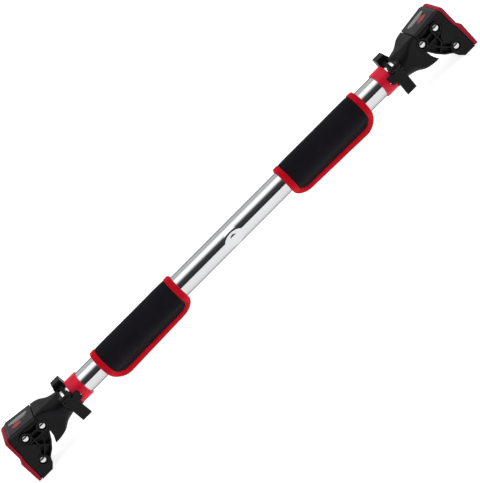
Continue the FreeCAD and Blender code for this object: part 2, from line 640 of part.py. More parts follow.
def slab(label, outline, half):
    """Piece of constant section, centred on the middle plane of the foot."""
    body = new_body(label)
    sketch = new_sketch(body, label + "_outline", "XZ_Plane")
    draw_outline(sketch, outline)
    feature(body, "Pad", label + "_block", sketch, f"2 * Sizes.{half}", both=True)
    return body


def is_top_edge(edge):
    """True for the long edges along the sides of the cover's upper face."""
    low = min(corner.Z for corner in edge.Vertexes)
    sides = {corner.Y > 0 for corner in edge.Vertexes}
    return low > size("cover_up1") - 0.1 and len(sides) == 1


def make_top_cover():
    """Plate on top of the foot, wider towards the pad, with a recess for the label panel."""
    body = slab("right_top_cover", "cover", "cover_widest")
    for side in ("", "-"):
        sketch = new_sketch(body, "flare" + side, "XY_Plane")
        near, far = f"{side}Sizes.cover_half", f"{side}Sizes.flare_half"
        out = f"{side}(Sizes.flare_half + 2)"
        corners = [("Sizes.flare_start - 1", near), ("Sizes.flare_end", far),
                   ("Sizes.flare_end", out), ("Sizes.flare_start - 1", out)]
        draw_polygon(sketch, [(work_out(a), a, work_out(b), b) for a, b in corners])
        feature(body, "Pocket", "flare_cut" + side, sketch, "Sizes.cover_up1 + Sizes.foot_half",
                reverse=True)
    soften(body, "cover_edge", "Sizes.cover_round", is_top_edge)
    recess = new_sketch(body, "panel_recess", "XZ_Plane")
    draw_outline(recess, "panel")
    feature(body, "Pocket", "panel_cut", recess, "2 * Sizes.panel_half", both=True)
    return body


def make_end_pad():
    """Stepped rubber pad on the outer end, its long edges rounded."""
    body = slab("right_end_pad", "pad", "pad_half")
    half = size("pad_half")
    soften(body, "pad_edge", "Sizes.edge_round",
           lambda edge: on_side(edge, half) or on_side(edge, -half))
    return body


def make_inner_plate():
    """Steel plate between the shells, with holes for the screws."""
    body = slab("right_inner_plate", "plate", "plate_half")
    for name in SCREWS:
        hole = new_sketch(body, "plate_" + name, "XZ_Plane", "-Sizes.plate_half - 1")
        draw_circle(hole, f"Sizes.{name}_across1", f"Sizes.{name}_up1", "Sizes.screw_hole")
        feature(body, "Pocket", "plate_hole_" + name, hole, "2 * Sizes.plate_half + 2",
                reverse=True)
    return body


def screw_places():
    return [(size(name + "_across1"), size(name + "_up1")) for name in SCREWS]


def make_foot_screws():
    """Three domed machine screws that clamp the shells, heads to the front."""
    seat = size("foot_half") + size("boss_proud") - size("seat_depth")
    head, dome, shank = size("head_radius"), size("head_dome"), size("screw_radius")
    top = FreeCAD.Vector(0, -seat - dome, 0)
    crown = FreeCAD.Vector(size("head_crown"), -seat - size("head_crown_up"), 0)
    rim = FreeCAD.Vector(head, -seat - size("head_lip"), 0)
    under = FreeCAD.Vector(head, -seat, 0)
    neck = FreeCAD.Vector(shank, -seat, 0)
    tip = FreeCAD.Vector(shank, seat + size("nut_height"), 0)
    end = FreeCAD.Vector(0, tip.y, 0)
    edges = [Part.Arc(top, crown, rim).toShape(), Part.makeLine(rim, under),
             Part.makeLine(under, neck), Part.makeLine(neck, tip), Part.makeLine(tip, end),
             Part.makeLine(end, top)]
    screw = Part.Face(Part.Wire(edges)).revolve(FreeCAD.Vector(0, 0, 0),
                                                FreeCAD.Vector(0, 1, 0), 360)
    screws = [screw.translated(FreeCAD.Vector(x, 0, z)) for x, z in screw_places()]
    return made_shape("right_foot_screws", Part.makeCompound(screws))


def make_foot_nuts():
    """Hexagon nuts in the seats at the back."""
    seat = size("foot_half") + size("boss_proud") - size("seat_depth")
    corner = size("nut_flats") / math.sqrt(3)
    ring = [FreeCAD.Vector(corner * math.cos(math.radians(60 * k)), seat,
                           corner * math.sin(math.radians(60 * k))) for k in range(6)]
    block = Part.Face(Part.makePolygon(ring + ring[:1]))
    nut = block.extrude(FreeCAD.Vector(0, size("nut_height"), 0))
    bore = Part.makeCylinder(size("screw_radius"), size("nut_height") + 2,
                             FreeCAD.Vector(0, seat - 1, 0), FreeCAD.Vector(0, 1, 0))
    nut = nut.cut(bore)
    nuts = [nut.translated(FreeCAD.Vector(x, 0, z)) for x, z in screw_places()]
    return made_shape("right_foot_nuts", Part.makeCompound(nuts))


# ---------------------------------------------------------------- grips
def teardrop(outer, tail_half, tail_low):
    """Closed wire in YZ: round over the tube, drawn down to a narrow rounded tail."""
    fall = tail_low + tail_half
    reach = math.acos((outer - tail_half) / -fall)
    angle = -math.pi / 2 + reach
    cosine, sine = math.cos(angle), math.sin(angle)
    right_top = FreeCAD.Vector(0, outer * cosine, outer * sine)
    right_low = FreeCAD.Vector(0, tail_half * cosine, fall + tail_half * sine)
    left_top = FreeCAD.Vector(0, -right_top.y, right_top.z)
    left_low = FreeCAD.Vector(0, -right_low.y, right_low.z)
    top, tip = FreeCAD.Vector(0, 0, outer), FreeCAD.Vector(0, 0, tail_low)
    return Part.Wire([
        Part.Arc(left_top, top, right_top).toShape(), Part.makeLine(right_top, right_low),
        Part.Arc(right_low, tip, left_low).toShape(), Part.makeLine(left_low, left_top)])


def grip_prism(outer, tail_half, tail_low):
    """The folded sheet as a solid along the grip, with its two lower corners rounded."""
    start, end, round_off = size("grip_start"), size("grip_end"), size("corner_radius")
    face = Part.Face(teardrop(outer, tail_half, tail_low))
    prism = face.extrude(FreeCAD.Vector(end - start, 0, 0))
    prism.translate(FreeCAD.Vector(start, 0, 0))
    side = side_window(start, end, tail_low, round_off, outer + 1)
    return prism.common(side)


def side_window(start, end, low, round_off, high):
    """Block through the grip from front to back, its two lower corners rounded."""
    near, far = start + round_off, end - round_off
    bend = round_off * math.sin(math.pi / 4)
    knee = low + round_off
    reach = size("grip_reach")

    def at(x, z):
        return FreeCAD.Vector(x, -reach, z)

    edges = [Part.makeLine(at(start, high), at(start, knee)),
             Part.Arc(at(start, knee), at(near - bend, knee - bend), at(near, low)).toShape(),
             Part.makeLine(at(near, low), at(far, low)),
             Part.Arc(at(far, low), at(far + bend, knee - bend), at(end, knee)).toShape(),
             Part.makeLine(at(end, knee), at(end, high)),
             Part.makeLine(at(end, high), at(start, high))]
    return Part.Face(Part.Wire(edges)).extrude(FreeCAD.Vector(0, 2 * reach, 0))


def grip_window():
    """The part of the grip that is bare foam, inside the binding."""
    band, hem = size("band"), size("hem")
    return side_window(size("grip_start") + band, size("grip_end") - band,
                       size("bind_low") + hem, size("corner_radius") - band,
                       size("wrap_outer") + 5)


def tube_room():
    start = size("grip_start") - 1
    return Part.makeCylinder(size("wrap_inner"), size("grip_end") - start + 1,
                             FreeCAD.Vector(start, 0, 0), FreeCAD.Vector(1, 0, 0))


def strip_box(back):
    """One half of the touch fastener between the two layers of the tail."""
    thick, margin = size("strip_thick"), size("strip_margin")
    start = size("grip_start") + margin
    return Part.makeBox(size("grip_end") - margin - start, thick,
                        size("strip_high") - size("strip_low"),
                        FreeCAD.Vector(start, 0 if back else -thick, size("strip_low")))


def make_grip():
    """Foam wrap, its red binding and the two halves of its touch fastener."""
    foam = grip_prism(size("wrap_outer"), size("tail_half"), size("tail_low"))
    foam = foam.common(grip_window()).cut(tube_room())
    foam = foam.cut(strip_box(False)).cut(strip_box(True))
    bound = grip_prism(size("bind_outer"), size("bind_half"), size("bind_low"))
    bound = bound.cut(grip_window()).cut(tube_room())
    return [made_shape("right_grip_wrap", foam), made_shape("right_grip_binding", bound),
            made_shape("right_hook_strip", strip_box(False)),
            made_shape("right_loop_strip", strip_box(True))]


# ---------------------------------------------------------------- build and write
middle = [make_tube(), make_rivet(), make_centre_stop()]
right = [
    make_tube_nut(), make_spindle(), make_spindle_stop(), make_collar(), make_lock_ring(),
    make_lock_lever(), make_lever_pin(), make_lever_spring(), make_hood(), make_spindle_pin(),
    make_shell("right_front_shell", True), make_shell("right_back_shell", False),
    make_top_cover(), slab("right_label_panel", "panel", "panel_half"), make_end_pad(),
    make_inner_plate(), make_foot_screws(), make_foot_nuts(), *make_grip(),
]
left = [mirror_left(item, item.Label.replace("right_", "left_")) for item in right]
doc.recompute()

for item in doc.Objects:
    if {"Invalid", "Error"} & set(item.State):
        raise RuntimeError(f"{item.Name} failed: {item.State}")

os.makedirs("parts", exist_ok=True)
for item in middle + right + left:
    if item.Shape.isNull() or not item.Shape.isValid():
        raise RuntimeError(f"{item.Label} has no valid shape")
    item.Shape.exportStep(f"parts/{item.Label}.step")
    solids = len(item.Shape.Solids)
    print(f"{item.Label}: {solids} solid(s), {item.Shape.Volume:.0f} cubic mm")
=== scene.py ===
import math

import bmesh
import bpy
from mathutils import Matrix, Vector, noise


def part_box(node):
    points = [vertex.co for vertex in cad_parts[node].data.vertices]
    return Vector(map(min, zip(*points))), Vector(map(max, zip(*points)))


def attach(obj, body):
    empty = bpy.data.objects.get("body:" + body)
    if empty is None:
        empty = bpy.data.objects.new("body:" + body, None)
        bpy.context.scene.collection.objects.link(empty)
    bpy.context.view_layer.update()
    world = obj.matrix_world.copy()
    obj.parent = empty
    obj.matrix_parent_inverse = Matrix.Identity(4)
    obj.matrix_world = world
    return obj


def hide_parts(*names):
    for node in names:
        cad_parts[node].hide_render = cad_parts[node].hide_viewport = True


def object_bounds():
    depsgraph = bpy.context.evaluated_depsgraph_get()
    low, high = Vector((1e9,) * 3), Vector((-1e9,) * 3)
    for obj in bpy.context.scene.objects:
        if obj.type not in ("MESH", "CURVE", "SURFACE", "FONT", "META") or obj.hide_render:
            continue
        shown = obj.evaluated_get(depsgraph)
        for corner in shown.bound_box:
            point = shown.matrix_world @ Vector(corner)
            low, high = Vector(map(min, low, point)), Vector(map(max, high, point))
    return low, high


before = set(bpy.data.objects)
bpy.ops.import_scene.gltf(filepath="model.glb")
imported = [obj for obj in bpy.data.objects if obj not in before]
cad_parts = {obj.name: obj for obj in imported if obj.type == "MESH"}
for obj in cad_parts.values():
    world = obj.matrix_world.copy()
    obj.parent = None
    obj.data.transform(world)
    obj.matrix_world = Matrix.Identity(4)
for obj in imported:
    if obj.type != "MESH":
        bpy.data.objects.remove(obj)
cad_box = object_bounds()

SIDES = (("left", -1.0), ("right", 1.0))
TUBE_RADIUS = 0.015


# ---------------------------------------------------------------- material helpers
def new_material(name):
    """A material with its shader, ready for colour, roughness and bump."""
    material = bpy.data.materials.new(name)
    material.use_nodes = True
    tree = material.node_tree
    shader = tree.nodes["Principled BSDF"]
    return material, tree, shader


def add_node(tree, kind, **values):
    """A node with its properties set and its named sockets filled."""
    node = tree.nodes.new(kind)
    for key, value in values.items():
        if key in node.inputs:
            node.inputs[key].default_value = value
        else:
            setattr(node, key, value)
    return node


def object_place(tree, scale=(1.0, 1.0, 1.0)):
    """Object coordinates, stretched by a scale along each axis."""
    place = add_node(tree, "ShaderNodeTexCoord")
    mapping = add_node(tree, "ShaderNodeMapping")
    mapping.inputs["Scale"].default_value = scale
    tree.links.new(place.outputs["Object"], mapping.inputs["Vector"])
    return mapping.outputs["Vector"]


def noise_at(tree, vector, scale, detail=3.0, rough=0.5):
    """Fractal noise at a scale in cycles per metre."""
    node = add_node(tree, "ShaderNodeTexNoise")
    node.inputs["Scale"].default_value = scale
    node.inputs["Detail"].default_value = detail
    node.inputs["Roughness"].default_value = rough
    tree.links.new(vector, node.inputs["Vector"])
    return node.outputs["Fac"]


def ramp(tree, fac, stops):
    """Colour ramp; stops are (place, colour)."""
    node = add_node(tree, "ShaderNodeValToRGB")
    elements = node.color_ramp.elements
    while len(elements) < len(stops):
        elements.new(0.5)
    for element, (place, colour) in zip(elements, stops):
        element.position = place
        element.color = (*colour, 1.0)
    tree.links.new(fac, node.inputs["Fac"])
    return node.outputs["Color"]


def to_range(tree, fac, low, high, source=(0.0, 1.0)):
    """Map a factor from one range to another."""
    node = add_node(tree, "ShaderNodeMapRange")
    for socket, value in zip(("From Min", "From Max", "To Min", "To Max"), (*source, low, high)):
        node.inputs[socket].default_value = value
    tree.links.new(fac, node.inputs["Value"])
    return node.outputs["Result"]


def maths(tree, operation, first, second):
    """Two-input maths node; either input may be a socket or a number."""
    node = add_node(tree, "ShaderNodeMath", operation=operation)
    for socket, value in zip(node.inputs, (first, second)):
        if isinstance(value, (int, float)):
            socket.default_value = value
        else:
            tree.links.new(value, socket)
    return node.outputs["Value"]


def add_bump(tree, shader, height, distance, strength=1.0):
    """Bump from a height, which stands for up to a distance in metres."""
    node = add_node(tree, "ShaderNodeBump")
    node.inputs["Strength"].default_value = strength
    node.inputs["Distance"].default_value = distance
    tree.links.new(height, node.inputs["Height"])
    tree.links.new(node.outputs["Normal"], shader.inputs["Normal"])


EDGE_WEAR_AND_HIGHLIGHT_RADIUS = 0.0008          # how far from a sharp edge the wear and the painted edge highlight reach
EDGE_WEAR_AND_HIGHLIGHT_COSINES = (0.82, 0.99)   # cosine between the two normals: fully lightened, and not lightened


def edge_wear_and_highlight(tree):
    """1 on sharp edges, 0 elsewhere, from the angle between bevelled and true normals; the mask
    of the edge wear and of the painted edge highlight.
    """
    bevel = add_node(tree, "ShaderNodeBevel", samples=4)
    bevel.inputs["Radius"].default_value = EDGE_WEAR_AND_HIGHLIGHT_RADIUS
    geometry = add_node(tree, "ShaderNodeNewGeometry")
    dot = add_node(tree, "ShaderNodeVectorMath", operation="DOT_PRODUCT")
    tree.links.new(bevel.outputs["Normal"], dot.inputs[0])
    tree.links.new(geometry.outputs["Normal"], dot.inputs[1])
    return to_range(tree, dot.outputs["Value"], 1.0, 0.0, EDGE_WEAR_AND_HIGHLIGHT_COSINES)


# ---------------------------------------------------------------- materials
def chrome_material(name, colour, roughness, scratch, rim=0.2):
    """Bright plating: almost a mirror, with a faint haze, fine turning marks and smudges."""
    material, tree, shader = new_material(name)
    shader.inputs["Metallic"].default_value = 1.0
    shader.inputs["Specular Tint"].default_value = (rim, rim, rim, 1.0)
    place = object_place(tree)
    haze = noise_at(tree, place, 24.0, 4.0, 0.6)
    darker = tuple(channel * 0.95 for channel in colour)
    tree.links.new(ramp(tree, haze, [(0.35, darker), (0.65, colour)]),
                   shader.inputs["Base Color"])
    tree.links.new(to_range(tree, haze, roughness * 0.7, roughness * 1.5, (0.3, 0.7)),
                   shader.inputs["Roughness"])
    marks = noise_at(tree, object_place(tree, (3.0, 260.0, 260.0)), 9.0, 2.0)
    add_bump(tree, shader, marks, scratch, 0.25)
    return material


def steel_material(name, colour):
    """Zinc-plated steel with a spangled, slightly uneven tone."""
    material, tree, shader = new_material(name)
    shader.inputs["Metallic"].default_value = 1.0
    place = object_place(tree)
    spangle = noise_at(tree, place, 420.0, 5.0, 0.6)
    darker = tuple(channel * 0.7 for channel in colour)
    tree.links.new(ramp(tree, spangle, [(0.3, darker), (0.7, colour)]),
                   shader.inputs["Base Color"])
    tree.links.new(to_range(tree, spangle, 0.28, 0.48), shader.inputs["Roughness"])
    add_bump(tree, shader, spangle, 0.00002)
    return material


def plastic_material(name, colour, roughness, shine, grain=0.00003,
                     worn_and_highlit=(0.07, 0.07, 0.075)):
    """Moulded plastic with a spark-eroded grain and edges painted a little lighter, partly as
    wear and partly as a painted highlight.
    """
    material, tree, shader = new_material(name)
    shader.inputs["Specular IOR Level"].default_value = shine
    place = object_place(tree)
    cloud = noise_at(tree, place, 60.0, 4.0)
    fine = noise_at(tree, place, 2600.0, 2.0)
    lighter = tuple(channel * 1.35 + 0.002 for channel in colour)
    base = ramp(tree, cloud, [(0.3, colour), (0.75, lighter)])
    # sharp edges are painted lighter: partly wear, partly a painted highlight of light catching
    # them
    mix = add_node(tree, "ShaderNodeMix", data_type="RGBA")
    mix.inputs["B"].default_value = (*worn_and_highlit, 1.0)
    wear_and_highlight = maths(tree, "MULTIPLY", edge_wear_and_highlight(tree), to_range(tree, cloud, 0.1, 0.55))
    tree.links.new(wear_and_highlight, mix.inputs["Factor"])
    tree.links.new(base, mix.inputs["A"])
    tree.links.new(mix.outputs["Result"], shader.inputs["Base Color"])
    tree.links.new(to_range(tree, cloud, roughness - 0.06, roughness + 0.1),
                   shader.inputs["Roughness"])
    add_bump(tree, shader, fine, grain, 0.6)
    return material


def rubber_material(name, colour):
    """Matt moulded rubber, dusty in places."""
    material, tree, shader = new_material(name)
    place = object_place(tree)
    cloud = noise_at(tree, place, 85.0, 5.0, 0.6)
    fine = noise_at(tree, place, 1700.0, 3.0)
    dusty = tuple(channel * 0.9 + 0.008 for channel in colour)
    shader.inputs["Specular IOR Level"].default_value = 0.14
    tree.links.new(ramp(tree, cloud, [(0.35, colour), (0.8, dusty)]),
                   shader.inputs["Base Color"])
    tree.links.new(to_range(tree, cloud, 0.5, 0.72), shader.inputs["Roughness"])
    add_bump(tree, shader, fine, 0.00006, 0.7)
    return material


def knit_height(tree, vector, pitch):
    """Rows of small loops, as a jersey facing has, 0.63 of the pitch apart.

    The bands of the wave texture are 0.314 m apart at a scale of 1."""
    waves = []
    for direction, phase in (("X", 0.0), ("Y", 1.6)):
        wave = add_node(tree, "ShaderNodeTexWave", wave_type="BANDS", bands_direction=direction)
        wave.inputs["Scale"].default_value = 0.5 / pitch
        wave.inputs["Distortion"].default_value = 0.6
        wave.inputs["Detail"].default_value = 1.0
        wave.inputs["Phase Offset"].default_value = phase
        tree.links.new(vector, wave.inputs["Vector"])
        waves.append(wave.outputs["Fac"])
    return maths(tree, "MULTIPLY", waves[0], waves[1])


def uv_place(tree):
    """The piece's own sheet coordinates, in metres along and across the cloth."""
    node = add_node(tree, "ShaderNodeUVMap", uv_map="cloth")
    return node.outputs["UV"]


def cloth_material(name, colour, light, pitch, depth, roughness, sheen):
    """Knitted or woven cloth: loops in relief with a painted highlight on their crests, and soft
    fuzz.
    """
    material, tree, shader = new_material(name)
    shader.inputs["Sheen Weight"].default_value = sheen
    shader.inputs["Sheen Roughness"].default_value = 0.5
    shader.inputs["Specular IOR Level"].default_value = 0.06
    place = object_place(tree)
    loops = knit_height(tree, uv_place(tree), pitch)
    cloud = noise_at(tree, place, 45.0, 4.0, 0.6)
    # the loops' height lightens the colour: a painted highlight on the crests, mixed with a
    # random cloudy tone
    tone = maths(tree, "ADD", maths(tree, "MULTIPLY", loops, 0.55),
                 maths(tree, "MULTIPLY", cloud, 0.6))
    tree.links.new(ramp(tree, tone, [(0.2, colour), (0.9, light)]),
                   shader.inputs["Base Color"])
    tree.links.new(to_range(tree, cloud, roughness - 0.05, roughness + 0.1),
                   shader.inputs["Roughness"])
    add_bump(tree, shader, loops, depth, 0.8)
    return material


CHROME = chrome_material("chrome_plate", (0.60, 0.605, 0.615), 0.035, 0.000004)
THREAD_CHROME = chrome_material("chrome_thread", (0.62, 0.625, 0.635), 0.12, 0.00001)
DOME_CHROME = chrome_material("nickel_dome", (0.62, 0.62, 0.63), 0.12, 0.000004)
STEEL = steel_material("zinc_steel", (0.55, 0.56, 0.57))
SPRING = steel_material("spring_steel", (0.32, 0.33, 0.38))
BLACK = plastic_material("black_abs", (0.0045, 0.0045, 0.0055), 0.36, 0.10)
COVER = plastic_material("cover_abs", (0.012, 0.012, 0.014), 0.42, 0.17)
NYLON = plastic_material("grey_nylon", (0.12, 0.12, 0.13), 0.5, 0.4)
# its lighter red edges are partly wear, partly a painted highlight
RED = plastic_material("red_abs", (0.62, 0.004, 0.030), 0.36, 0.16, worn_and_highlit=(0.80, 0.10, 0.12))
RUBBER = rubber_material("red_rubber", (0.33, 0.005, 0.024))
NEOPRENE = cloth_material("neoprene_knit", (0.0055, 0.005, 0.007), (0.015, 0.013, 0.018),
                          0.0011, 0.00012, 0.85, 0.02)
BINDING = cloth_material("red_tape", (0.50, 0.001, 0.010), (0.74, 0.003, 0.020),
                         0.0009, 0.00012, 0.65, 0.02)
THREAD = cloth_material("red_thread", (0.42, 0.001, 0.008), (0.62, 0.004, 0.02),
                        0.0004, 0.00005, 0.65, 0.05)
FASTENER = cloth_material("fastener_tape", (0.008, 0.008, 0.009), (0.028, 0.028, 0.030),
                          0.0007, 0.0002, 0.9, 0.2)
PRINT = rubber_material("grey_print", (0.26, 0.26, 0.27))
RED_PRINT = rubber_material("red_print", (0.42, 0.05, 0.05))

NODE_MATERIALS = {
    "main_tube": CHROME, "centre_rivet": DOME_CHROME, "foot_screws": DOME_CHROME,
    "spindle": THREAD_CHROME, "centre_stop": NYLON, "tube_nut": NYLON,
    "spindle_stop": STEEL, "spindle_pin": STEEL, "inner_plate": STEEL, "foot_nuts": STEEL,
    "lever_pin": STEEL, "lever_spring": SPRING, "collar": RED, "lock_ring": BLACK,
    "lock_lever": BLACK, "neck_hood": BLACK, "front_shell": BLACK, "back_shell": BLACK,
    "top_cover": COVER, "label_panel": COVER, "end_pad": RUBBER, "grip_wrap": NEOPRENE,
    "grip_binding": BINDING, "hook_strip": FASTENER, "loop_strip": FASTENER,
}


def dress_nodes():
    """Give every CAD node its procedural material."""
    for name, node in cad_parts.items():
        short = name.split("_", 1)[1] if name.split("_")[0] in ("left", "right") else name
        material = NODE_MATERIALS[short]
        node.data.materials.clear()
        node.data.materials.append(material)


dress_nodes()


# ---------------------------------------------------------------- mesh helpers
def make_mesh(name, points, faces, material, uvs=None, smooth=True):
    """A mesh object; uvs holds one cloth coordinate per vertex."""
    mesh = bpy.data.meshes.new(name)
    mesh.from_pydata(points, [], faces)
    mesh.update()
    if uvs:
        layer = mesh.uv_layers.new(name="cloth")
        for loop in mesh.loops:
            layer.data[loop.index].uv = uvs[loop.vertex_index]
    mesh.polygons.foreach_set("use_smooth", [smooth] * len(mesh.polygons))
    mesh.materials.append(material)
    piece = bpy.data.objects.new(name, mesh)
    bpy.context.scene.collection.objects.link(piece)
    return piece


def ring_faces(rows, columns, close_rows=False, start=0):
    """Quads of a grid whose columns close into a ring, and whose rows may too."""
    faces = []
    for row in range(rows if close_rows else rows - 1):
        for column in range(columns):
            ahead, beside = (row + 1) % rows, (column + 1) % columns
            faces.append((start + row * columns + column, start + ahead * columns + column,
                          start + ahead * columns + beside, start + row * columns + beside))
    return faces


def bridge_faces(outer, inner, columns):
    """Quads that close the gap between two rings of points, given the first index of each."""
    faces = []
    for column in range(columns):
        beside = (column + 1) % columns
        faces.append((outer + column, outer + beside, inner + beside, inner + column))
    return faces


def slab_faces(columns, rows):
    """Faces of a slab whose two layers of points are grids, with a wall round their rim."""
    width = columns + 1
    layer = width * (rows + 1)
    faces = []
    for row in range(rows):
        for column in range(columns):
            first = row * width + column
            quad = (first, first + 1, first + 1 + width, first + width)
            faces.append(quad)
            faces.append(tuple(layer + index for index in reversed(quad)))
    rim = list(range(width))
    rim += [row * width + columns for row in range(1, rows + 1)]
    rim += [rows * width + column for column in range(columns - 1, -1, -1)]
    rim += [row * width for row in range(rows - 1, 0, -1)]
    for here, there in zip(rim, rim[1:] + rim[:1]):
        faces.append((there, here, layer + here, layer + there))
    return faces


def face_outward(piece):
    """Turn all faces of a closed piece to point outwards."""
    work = bmesh.new()
    work.from_mesh(piece.data)
    bmesh.ops.recalc_face_normals(work, faces=work.faces)
    work.to_mesh(piece.data)
    work.free()


def mirror_points(points, sign):
    """Points of the +X end, or with a sign of -1 the same points at the other end."""
    return [(sign * x, y, z) for x, y, z in points]


# ---------------------------------------------------------------- grips
GRIP_START = abs(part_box("right_grip_binding")[0][0])
GRIP_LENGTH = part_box("right_grip_binding")[1][0] - GRIP_START
WRAP_RADIUS = 0.0171          # middle of the foam over the tube
FOAM_HALF = 0.0019            # half the foam's thickness where it is free
FOAM_PINCHED = 0.00135        # and where the tape squeezes it
TAIL_BEND = 0.035             # radius of the flaps' hollow curve
TAIL_MIDDLE = 0.0026          # how far each flap's middle hangs from the plane of the tail
TAIL_LOW = -0.0312            # lower edge of the tail
CORNER = 0.020                # radius of the sheet's corners

# centre of the flaps' curve, and the angles and lengths of the sheet's arc and curve
BEND_Y = TAIL_MIDDLE + TAIL_BEND
BEND_Z = -math.sqrt((WRAP_RADIUS + TAIL_BEND) ** 2 - BEND_Y ** 2)
TURN_AWAY = math.atan2(-BEND_Z, BEND_Y)          # below the horizontal
ARC_HALF = WRAP_RADIUS * (math.pi / 2 + TURN_AWAY)
BEND_START = math.pi - TURN_AWAY
BEND_END = math.pi - math.asin((TAIL_LOW - BEND_Z) / TAIL_BEND)
SHEET_HALF = ARC_HALF + TAIL_BEND * (BEND_END - BEND_START)
SHEET_LENGTH = 2 * SHEET_HALF

# the sheet is drawn out by this share at the grip's outer end, TAIL_REACH down the tail, and
# drawn in as much at its inner end
TAIL_STRETCH = 0.03
TAIL_REACH = 0.020
RIPPLE = 0.00018              # height of the cloth's unevenness
CROWN_START = 0.004           # this far in from the sheet's edge the foam starts to swell
CROWN_WIDTH = 0.010           # and over this distance it reaches its full thickness


def section_at(across):
    """Point (y, z) and outward normal on the folded sheet's middle, from its front edge."""
    run = across - SHEET_HALF
    side = 1.0 if run >= 0 else -1.0
    run = abs(run)
    if run <= ARC_HALF:
        angle = run / WRAP_RADIUS
        normal = (side * math.sin(angle), math.cos(angle))
        return (normal[0] * WRAP_RADIUS, normal[1] * WRAP_RADIUS), normal
    angle = BEND_START + (run - ARC_HALF) / TAIL_BEND
    point = (side * (BEND_Y + TAIL_BEND * math.cos(angle)),
             BEND_Z + TAIL_BEND * math.sin(angle))
    return point, (-side * math.cos(angle), -math.sin(angle))


def on_sheet(along, across, lift):
    """Point in the row frame of the +X grip, lifted off the sheet's middle."""
    tail = max(0.0, abs(across - SHEET_HALF) - ARC_HALF)
    longer = 1.0 + TAIL_STRETCH * (along / GRIP_LENGTH - 0.5) * 2 * tail / TAIL_REACH
    stretched = SHEET_HALF + (across - SHEET_HALF) * (longer if tail > 0 else 1.0)
    (y, z), (normal_y, normal_z) = section_at(stretched)
    ripple = RIPPLE * noise.noise(Vector((along * 55, across * 40, 3.0)))
    rise = lift + ripple * (1.0 if lift > 0 else 0.2)
    return (GRIP_START + along, y + normal_y * rise, z + normal_z * rise)


def rim_inset(across):
    """How far the sheet's end edge stands back at the rounded corners."""
    reach = min(across, SHEET_LENGTH - across)
    if reach >= CORNER:
        return 0.0
    return CORNER - math.sqrt(max(0.0, CORNER ** 2 - (CORNER - reach) ** 2))


def smooth_step(value):
    """0 below 0 and 1 above 1, with a smooth rise between."""
    value = max(0.0, min(1.0, value))
    return value * value * (3 - 2 * value)


def make_foam(side, sign):
    """The neoprene sheet: one closed skin, crowned between its bound edges."""
    columns, rows = 56, 84
    points, uvs = [], []
    for face in (1, -1):
        for row in range(rows + 1):
            across = SHEET_LENGTH * (0.5 - 0.5 * math.cos(math.pi * row / rows))
            inset = rim_inset(across)
            for column in range(columns + 1):
                share = 0.5 - 0.5 * math.cos(math.pi * column / columns)
                along = inset + (GRIP_LENGTH - 2 * inset) * share
                edge = min(along, GRIP_LENGTH - along, across, SHEET_LENGTH - across)
                crown = smooth_step((edge - CROWN_START) / CROWN_WIDTH)
                half = FOAM_PINCHED + (FOAM_HALF - FOAM_PINCHED) * crown
                points.append(on_sheet(along, across, face * half))
                uvs.append((along, across))
    piece = make_mesh(f"{side}_foam_wrap", mirror_points(points, sign),
                      slab_faces(columns, rows), NEOPRENE, uvs)
    face_outward(piece)
    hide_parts(f"{side}_grip_wrap")
    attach(piece, "tube")


def rim_path(steps_straight=60, steps_corner=14):
    """Points round the sheet's edge with the direction that leads inwards."""
    length, height = GRIP_LENGTH, SHEET_LENGTH
    corners = [((length - CORNER, CORNER), -90), ((length - CORNER, height - CORNER), 0),
               ((CORNER, height - CORNER), 90), ((CORNER, CORNER), 180)]
    path = []
    for index, (centre, start) in enumerate(corners):
        for step in range(steps_corner + 1):
            angle = math.radians(start + 90 * step / steps_corner)
            out = (math.cos(angle), math.sin(angle))
            path.append(((centre[0] + CORNER * out[0], centre[1] + CORNER * out[1]),
                         (-out[0], -out[1])))
        end = path[-1]
        following, following_start = corners[(index + 1) % 4]
        out = (math.cos(math.radians(following_start)), math.sin(math.radians(following_start)))
        goal = (following[0] + CORNER * out[0], following[1] + CORNER * out[1])
        for step in range(1, steps_straight):
            share = step / steps_straight
            path.append(((end[0][0] + (goal[0] - end[0][0]) * share,
                          end[0][1] + (goal[1] - end[0][1]) * share), end[1]))
    return path


# section of the tape in millimetres: inwards from the edge, and off the sheet's middle
TAPE_SECTION = [
    (7.3, 1.35), (7.2, 1.95), (6.5, 2.22), (5.0, 2.30), (3.2, 2.36), (1.4, 2.26), (0.2, 1.85),
    (-0.6, 1.15), (-0.95, 0.0), (-0.6, -1.05), (0.2, -1.6), (1.4, -1.85), (5.8, -1.9),
    (6.5, -1.75), (6.5, -1.3), (1.2, -1.25), (0.2, -0.8), (0.0, 0.0), (0.2, 0.9), (1.2, 1.25),
]
TAPE_EXTRA = 0.16             # how much wider the tape is along the tail's edges, as a share
TAPE_WIDE = 0.004             # it has this extra up to here from the sheet's edge
TAPE_EVENS = 0.020            # and loses it over this distance
TAPE_PUCKER = 0.00012         # the tape rises and falls this much between stitches
PUCKER_PITCH = 0.0031
SEAM_INSET = 0.0058           # how far in from the edge the stitches run
STITCH_PITCH = 0.0032
STITCH_HALF = 0.0011          # half the length of a stitch
STITCH_RADIUS = 0.00026       # of its thread
SEAM_LIFT = 0.00232           # height of the seam over the sheet's middle
STITCH_ARCH = 0.00010         # a stitch's middle stands up by this
STITCH_SINK = 0.0003          # and its ends go into the tape by this


def tape_width(across):
    """The tape is a little wider along the tail's two edges than round the tube."""
    reach = min(across, SHEET_LENGTH - across)
    return 1.0 + TAPE_EXTRA * (1.0 - smooth_step((reach - TAPE_WIDE) / TAPE_EVENS))


